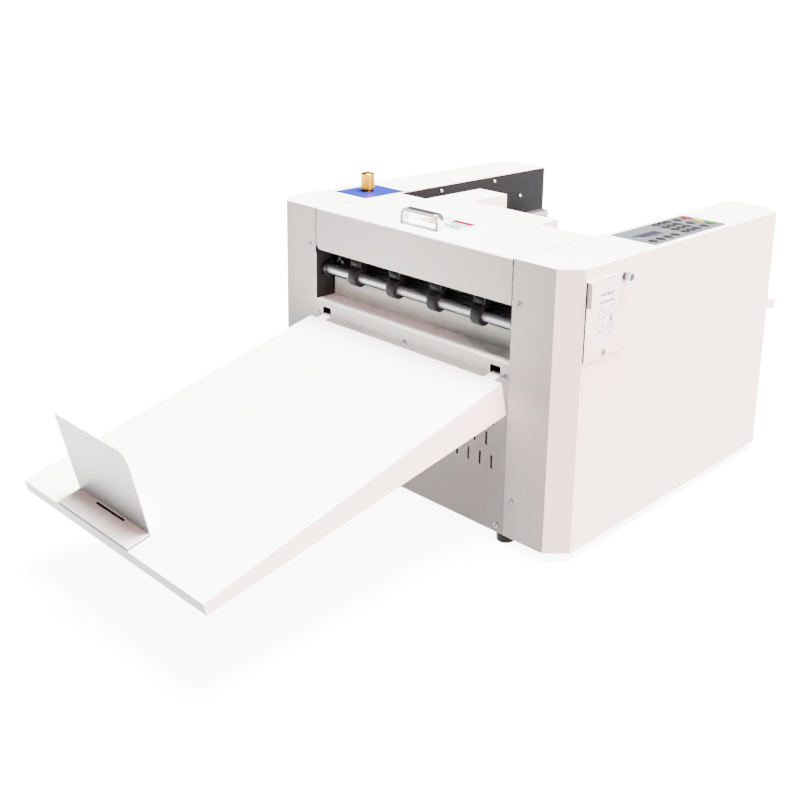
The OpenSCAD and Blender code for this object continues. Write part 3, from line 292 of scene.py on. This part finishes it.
# ---------------------------------------------------------------- softened edges of the CAD
# Width of the rounding in millimetres, over the CAD nodes that take it.
EDGES = {
    1.0: ["left_casing", "right_casing"],
    0.6: ["top_cover", "feed_hood", "exit_tray", "feed_tray", "front_panel", "paper_stop",
          "cover_handle"],
    0.3: ["access_plate", "left_guide", "right_guide", "exit_rollers", "entry_rollers",
          "feed_rollers", "pickup_roller", "exit_idlers", "start_key", "stop_key", "reset_key",
          "feet", "power_inlet", "power_rocker", "idler_bracket", "feed_bed", "rear_panel"],
    0.15: ["number_keys", "keypad_panel", "scale_plate", "thumbscrew", "display_window"],
}
WELD_WITHIN = 0.02 * MM
FLAT_UNDER = math.radians(0.5)
SHARP_OVER = math.radians(32)
for width, names in EDGES.items():
    for name in names:
        modifiers = NODES[name].modifiers
        weld = modifiers.new("weld", "WELD")
        weld.merge_threshold = WELD_WITHIN
        flat = modifiers.new("flat", "DECIMATE")
        flat.decimate_type = "DISSOLVE"
        flat.angle_limit = FLAT_UNDER
        soft = modifiers.new("edges", "BEVEL")
        soft.width = width * MM
        soft.segments = 2
        soft.limit_method = "ANGLE"
        soft.angle_limit = SHARP_OVER
        soft.harden_normals = True


# ---------------------------------------------------------------- building blocks of pieces
def piece(name, bm, body, finish, smooth=False):
    """Makes a mesh a finished piece of the object that moves with a CAD body."""
    mesh = bpy.data.meshes.new(name)
    bmesh.ops.recalc_face_normals(bm, faces=bm.faces)
    for f in bm.faces:
        f.smooth = smooth
    bm.to_mesh(mesh)
    bm.free()
    o = bpy.data.objects.new(name, mesh)
    bpy.context.scene.collection.objects.link(o)
    mesh.materials.append(finish)
    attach(o, body)


def facing(origin, x_axis, z_axis):
    """Placing matrix from an origin, the direction of its X axis and its outward normal."""
    z = Vector(z_axis).normalized()
    x = Vector(x_axis).normalized()
    y = z.cross(x)
    return Matrix.Translation(origin) @ Matrix((x, y, z)).transposed().to_4x4()


def turned(bm, profile, place, steps):
    """Adds a body of revolution: (radius, height) pairs about the Z axis of a placing matrix."""
    rings = []
    for r, h in profile:
        rings.append([bm.verts.new(place @ Vector((r * math.cos(2 * math.pi * k / steps),
                                                   r * math.sin(2 * math.pi * k / steps), h)))
                      for k in range(steps)])
    for low, high in zip(rings, rings[1:]):
        for k in range(steps):
            bm.faces.new((low[k], low[(k + 1) % steps], high[(k + 1) % steps], high[k]))
    bm.faces.new(rings[0][::-1])
    bm.faces.new(rings[-1])


def slab(bm, outline, place, z0, z1):
    """Adds a flat piece between two heights over the XY plane of a placing matrix."""
    low = [bm.verts.new(place @ Vector((x, y, z0))) for x, y in outline]
    high = [bm.verts.new(place @ Vector((x, y, z1))) for x, y in outline]
    n = len(outline)
    bm.faces.new(low[::-1])
    bm.faces.new(high)
    for k in range(n):
        bm.faces.new((low[k], low[(k + 1) % n], high[(k + 1) % n], high[k]))


def rectangle(x0, y0, x1, y1, r=0.0, steps=5):
    """Outline of a rectangle, with round corners where a radius is given."""
    if r <= 0:
        return [(x0, y0), (x1, y0), (x1, y1), (x0, y1)]
    out = []
    for cx, cy, a0 in ((x1 - r, y0 + r, -90), (x1 - r, y1 - r, 0),
                       (x0 + r, y1 - r, 90), (x0 + r, y0 + r, 180)):
        for k in range(steps + 1):
            a = math.radians(a0 + 90 * k / steps)
            out.append((cx + r * math.cos(a), cy + r * math.sin(a)))
    return out


def strip(bm, box, place, z0, z1, r=0.0):
    """Adds a flat rectangle with everything in millimetres: (x0, y0, x1, y1), heights, radius."""
    slab(bm, rectangle(*[v * MM for v in box], r * MM), place, z0 * MM, z1 * MM)


# ---------------------------------------------------------------- screw heads
# Domed heads with a cross recess, over the plain heads of the CAD.
HEAD_R = 4.05 * MM
SMALL_HEAD_R = 2.8 * MM
DOME = ((1, 0.05), (1, 0.7), (0.93, 1.2), (0.75, 1.55), (0.45, 1.75), (0.1, 1.8))
ARM, HALF_WIDTH = 0.57, 0.14
RECESS_Z = (1.45, 1.84)


def screw_heads(name, places, head_r=HEAD_R, finish=SCREW):
    """Heads at placing matrices. DOME has shares of the radius over heights in millimetres."""
    domes = bmesh.new()
    crosses = bmesh.new()
    turn = random.Random(11)
    dome = [(head_r * r, h * MM) for r, h in DOME]
    arm, half = head_r * ARM, head_r * HALF_WIDTH
    plus = [(arm, -half), (arm, half), (half, half), (half, arm), (-half, arm), (-half, half),
            (-arm, half), (-arm, -half), (-half, -half), (-half, -arm), (half, -arm),
            (half, -half)]
    for place in places:
        turned(domes, dome, place, 24)
        spin = place @ Matrix.Rotation(turn.uniform(0, math.pi), 4, "Z")
        slab(crosses, plus, spin, *[z * MM for z in RECESS_Z])
    piece(name, domes, "machine", finish, smooth=True)
    piece(name + "_recess", crosses, "machine", BLACK)


PANEL_SCREWS = [(178.5, 215.5), (173.6, 10)]        # (x, z) on the front panel, both sides
CASING_SCREWS = [(196.3, 314.8), (196.3, 51.8)]     # and on the front of the casings
LEDGE_SCREW = (0, 215)
REAR_SCREW = (179, 528, 150)
PIVOT_SCREW = (276.8, 67, 258)
FRAME_X = 185
FRAME_SCREWS = [(261, 361), (391, 361), (461, 327)]  # (y, z) on the inner frames

front_places = [(s * x, z) for s in SIDES for x, z in PANEL_SCREWS + CASING_SCREWS]
front_places.append(LEDGE_SCREW)
screw_heads("front_screw_heads", [facing(at(x, 0, z), ACROSS, FRONT) for x, z in front_places])
x, y, z = REAR_SCREW
screw_heads("rear_screw_heads", [facing(at(s * x, y, z), ACROSS, BACK) for s in SIDES])
screw_heads("pivot_screw_head", [facing(at(*PIVOT_SCREW), BACK, ACROSS)])
screw_heads("frame_screw_heads",
            [facing(at(-s * FRAME_X, y, z), BACK, (s, 0, 0))
             for s in SIDES for y, z in FRAME_SCREWS], SMALL_HEAD_R, ZINC)

# ---------------------------------------------------------------- small pieces of the case
# Spring clip that hangs over the left end of the exit shaft: two legs and the strip above.
clip = bmesh.new()
CLIP_TOP = 301
for x0, x1, low in ((-172.2, -168.8, 286), (-163.2, -158, 285.5), (-172.2, -158, 291)):
    strip(clip, (x0, low, x1, CLIP_TOP), facing(at(0, 29.4, 0), ACROSS, FRONT), -0.8, 0)
piece("shaft_clip", clip, "machine", SCREW)

# Dark sheet behind the two fields of ventilation slots in the front panel: painted shade inside
# the slots.
slot_shade = bmesh.new()
VENT_X, VENT_Z = (55, 168), (78, 170)
for s in SIDES:
    x0, x1 = sorted(s * x for x in VENT_X)
    strip(slot_shade, (x0, VENT_Z[0], x1, VENT_Z[1]), facing(at(0, 2.1, 0), ACROSS, FRONT), 0, 0.5)
piece("vent_slot_shade", slot_shade, "machine", FOOT_RUBBER)

# Felt in the slot of the paper stop, and the dark rims of its magnet sheet at the front and
# the right. They are placed over the sloping top of the delivery tray.
TRAY_SLOPE = math.radians(13.9)
on_tray = Matrix.Translation(at(0, -11.591, 211.877)) @ Matrix.Rotation(TRAY_SLOPE, 4, "X")
FELT_Z, RIM_Z = (1.55, 2.6), (0.35, 1.45)
felt = bmesh.new()
strip(felt, (-58.4, -425.9, 0.4, -423.6), on_tray, *FELT_Z)
strip(felt, (-100.8, -449.7, 45.8, -447.9), on_tray, *RIM_Z)
strip(felt, (44.2, -448, 45.8, -421), on_tray, *RIM_Z)
piece("stop_felt", felt, "stop", FOOT_RUBBER)

# Painted shade: dark strips on the frames, in the gaps beside the front of the cover.
gap_shade = bmesh.new()
GAP_SHADE_TOP = 368.5
for x0, x1, low in ((-184.95, -183.35, 304), (183.35, 184.95, 342)):
    strip(gap_shade, (x0, low, x1, GAP_SHADE_TOP), facing(at(0, 1.7, 0), ACROSS, FRONT), 0, 1.6)
piece("cover_gap_shade", gap_shade, "machine", RUBBER)

# Painted shade: a dark strip under the front edge of the access plate, in two lengths.
plate_gap_shade = bmesh.new()
for low, high in ((254, 322.5), (322.5, 354)):
    strip(plate_gap_shade, (275.4, low, 276.6, high), facing(at(0, 26.9, 0), ACROSS, FRONT), 0, 0.8)
piece("access_gap_shade", plate_gap_shade, "access_plate", RUBBER)

# ---------------------------------------------------------------- keypad
FOIL_TOP = 370.8
KEY_TOP = 371.42
on_foil = facing(at(0, 0, FOIL_TOP), ACROSS, UP)
bezel = bmesh.new()
strip(bezel, (219.5, 200.5, 237.5, 253.5), on_foil, 0.005, 0.3, 1.2)
piece("display_frame", bezel, "machine", DARK_FOIL, smooth=True)

KEYS = [(204.2 + 15.6 * i, 283.4 + 14.7 * k) for i in range(4) for k in range(3)]
KEYS += [(252.1, 202.3 + 18 * k) for k in range(4)]
KEYS += [(207.3 + 21.6 * k, 333.8) for k in range(3)]
RIM_X, RIM_Y, RIM_R = 7.2, 6.5, 6.3
rims = bmesh.new()
for x, y in KEYS:
    strip(rims, (x - RIM_X, y - RIM_Y, x + RIM_X, y + RIM_Y), on_foil, 0.005, 0.1, RIM_R)
piece("key_rims", rims, "machine", DARK_FOIL, smooth=True)

# Plain raised signs on the first twelve keys; they read from the machine's right-hand side.
SIGNS = "123456789-0+"
SIGN_SIZE, SIGN_RISE = 4.2, 0.04
numbers = bmesh.new()
for sign, (x, y) in zip(SIGNS, KEYS):
    curve = bpy.data.curves.new("sign", "FONT")
    curve.body = sign
    curve.size = SIGN_SIZE * MM
    curve.extrude = SIGN_RISE * MM
    curve.align_x = "CENTER"
    curve.align_y = "CENTER"
    curve.resolution_u = 3
    holder = bpy.data.objects.new("sign", curve)
    bpy.context.scene.collection.objects.link(holder)
    bpy.context.view_layer.update()
    shaped = holder.evaluated_get(bpy.context.evaluated_depsgraph_get())
    sign_mesh = bpy.data.meshes.new_from_object(shaped)
    sign_mesh.transform(facing(at(x, y, KEY_TOP), BACK, UP))
    numbers.from_mesh(sign_mesh)
    bpy.data.objects.remove(holder)
    bpy.data.curves.remove(curve)
    bpy.data.meshes.remove(sign_mesh)
piece("key_numbers", numbers, "machine", INK_WHITE)

# ---------------------------------------------------------------- labels, all without words
LABEL_X = 276.71
PRINT_X = LABEL_X + 0.16
label = bmesh.new()
strip(label, (49, 277, 91, 341), facing(at(LABEL_X, 0, 0), BACK, ACROSS), 0, 0.12, 1.5)
piece("access_label", label, "access_plate", LABEL)


def side_quad(bm, corners):
    """Flat patch printed on the access label, from its corners along and up the plate."""
    bm.faces.new([bm.verts.new(at(PRINT_X, y, z)) for y, z in corners])


def side_ring(bm, y, z, ry, rz, wide=0.9, steps=28):
    """Thin ring printed on the access label."""
    for k in range(steps):
        side_quad(bm, [(y + (ry + grow) * math.cos(2 * math.pi * a / steps),
                        z + (rz + grow) * math.sin(2 * math.pi * a / steps))
                       for a, grow in ((k, 0), (k + 1, 0), (k + 1, wide), (k, wide))])


# (y, z, half length, half height) of each ring, then (y0, y1, z, half height) of each row.
RINGS = ((58.6, 308.6, 5.2, 6.4), (78.8, 309.6, 5.2, 5.8), (78.8, 300.6, 2.2, 1.7),
         (58.4, 290.6, 5.2, 5.6), (78.6, 289.5, 5.4, 6.8), (78.6, 298.6, 2.2, 1.4),
         (78.6, 290, 0.8, 3))
ROWS = ((56.5, 83.4, 332.5, 1.5), (53.6, 85.8, 323, 1.2))
drawing = bmesh.new()
for ring in RINGS:
    side_ring(drawing, *ring)
bmesh.ops.remove_doubles(drawing, verts=drawing.verts, dist=1e-6)
bars = random.Random(5)
for y, y1, z, tall in ROWS:
    while y < y1 - 1.6:
        y2 = min(y1, y + bars.uniform(1.6, 3.4))
        rise = bars.uniform(-0.3, 0.3)
        low, high = z - tall + rise, z + tall + rise
        side_quad(drawing, [(y, low), (y2, low), (y2, high), (y, high)])
        y = y2 + bars.uniform(0.8, 1.7)
piece("access_label_print", drawing, "access_plate", INK_GREY)

on_cover = facing(at(0, 0, 370), ACROSS, UP)
cover_label = bmesh.new()
strip(cover_label, (-43, 55, 42, 98.5), on_cover, 0.02, 0.14, 1)
piece("cover_label", cover_label, "cover", LABEL)


def cover_print(name, boxes, finish):
    """Patches printed on the cover's label."""
    bm = bmesh.new()
    for box in boxes:
        strip(bm, box, on_cover, 0.1, 0.2)
    piece(name, bm, "cover", finish)


# Three rows of bars in place of writing, by where each starts along X and where it lies.
BAR_ROWS = ((6.0, 79), (-17.0, 69), (-17.0, 60))
BAR_END, BAR_HALF = 40, 2.5
small_bars = [(-22, 96.4, 0, 97.6), (-37, 60, -14, 61)]
for x, y in BAR_ROWS:
    while x < BAR_END - 2:
        x2 = min(BAR_END, x + bars.uniform(4, 9))
        small_bars.append((x, y - BAR_HALF, x2, y + BAR_HALF))
        x = x2 + bars.uniform(1.4, 2.6)
cover_print("cover_label_red", [(-0.5, 85, 38, 96.5)], INK_RED)
cover_print("cover_label_blue", small_bars, INK_BLUE)
cover_print("cover_label_yellow", [(-30, 67, -15, 79)], INK_YELLOW)
cover_print("cover_label_teal", [(-37, 63.5, -30.5, 68)], INK_TEAL)
cover_print("cover_label_dot", [(-19.5, 86, -15.5, 91.5)], KEY_BLACK)

# ---------------------------------------------------------------- floor
# Matte paper of a light table: it glows, so the shadows on it stay soft. The object takes no
# diffuse light from it.
FLOOR_GLOW = 9.0
FLOOR_HALF = 90
FLOOR = finish_of("floor_paper", (0.85, 0.85, 0.85), 0.8, tone=0.0, grain=300, bump=0.02)
floor_shader = FLOOR.node_tree.nodes["Principled BSDF"]
floor_shader.inputs["Emission Color"].default_value = (1, 1, 1, 1)
floor_shader.inputs["Emission Strength"].default_value = FLOOR_GLOW
floor_mesh = bpy.data.meshes.new("floor")
floor_corners = rectangle(-FLOOR_HALF, -FLOOR_HALF, FLOOR_HALF, FLOOR_HALF)
floor_mesh.from_pydata([(x, y, 0) for x, y in floor_corners], [], [(0, 1, 2, 3)])
floor = bpy.data.objects.new("floor", floor_mesh)
bpy.context.scene.collection.objects.link(floor)
floor_mesh.materials.append(FLOOR)
floor.visible_diffuse = False

# ---------------------------------------------------------------- light
SKY, TOP, SIDE = 0.12, 38.0, 20.0
world = bpy.data.worlds.new("studio")
world.use_nodes = True
background = world.node_tree.nodes["Background"]
background.inputs["Color"].default_value = (1, 1, 1, 1)
background.inputs["Strength"].default_value = SKY
bpy.context.scene.world = world


def broad_light(name, towards, strength, spread, color):
    """Distant light with a wide disc, as from a softbox; towards points at the lamp."""
    data = bpy.data.lights.new(name, "SUN")
    data.energy = strength
    data.angle = math.radians(spread)
    data.color = color
    o = bpy.data.objects.new(name, data)
    bpy.context.scene.collection.objects.link(o)
    o.rotation_euler = Vector(towards).to_track_quat("Z", "Y").to_euler()


broad_light("top_light", (0.12, 0.1, 0.98), TOP, 30, (0.985, 1.0, 0.985))
broad_light("side_light", (0.97, 0.04, 0.2), SIDE, 44, (1.0, 0.585, 0.545))

# ---------------------------------------------------------------- camera, as in the photo
CAMERA_AT = Vector((0.9748, -0.9654 + FRONT_Y, 0.7155))
RIGHT = Vector((0.7423, 0.6693, 0.0312))
ABOVE = Vector((-0.189, 0.1645, 0.9681))
AHEAD = Vector((-0.6429, 0.7245, -0.2486))
camera_data = bpy.data.cameras.new("camera")
camera_data.sensor_width = 36
camera_data.lens = 48.15
camera_data.shift_x = -0.09125
camera_data.shift_y = -0.19125
camera = bpy.data.objects.new("camera", camera_data)
bpy.context.scene.collection.objects.link(camera)
turn = Matrix((RIGHT, ABOVE, -AHEAD)).transposed().to_4x4()
camera.matrix_world = Matrix.Translation(CAMERA_AT) @ turn
bpy.context.scene.camera = camera
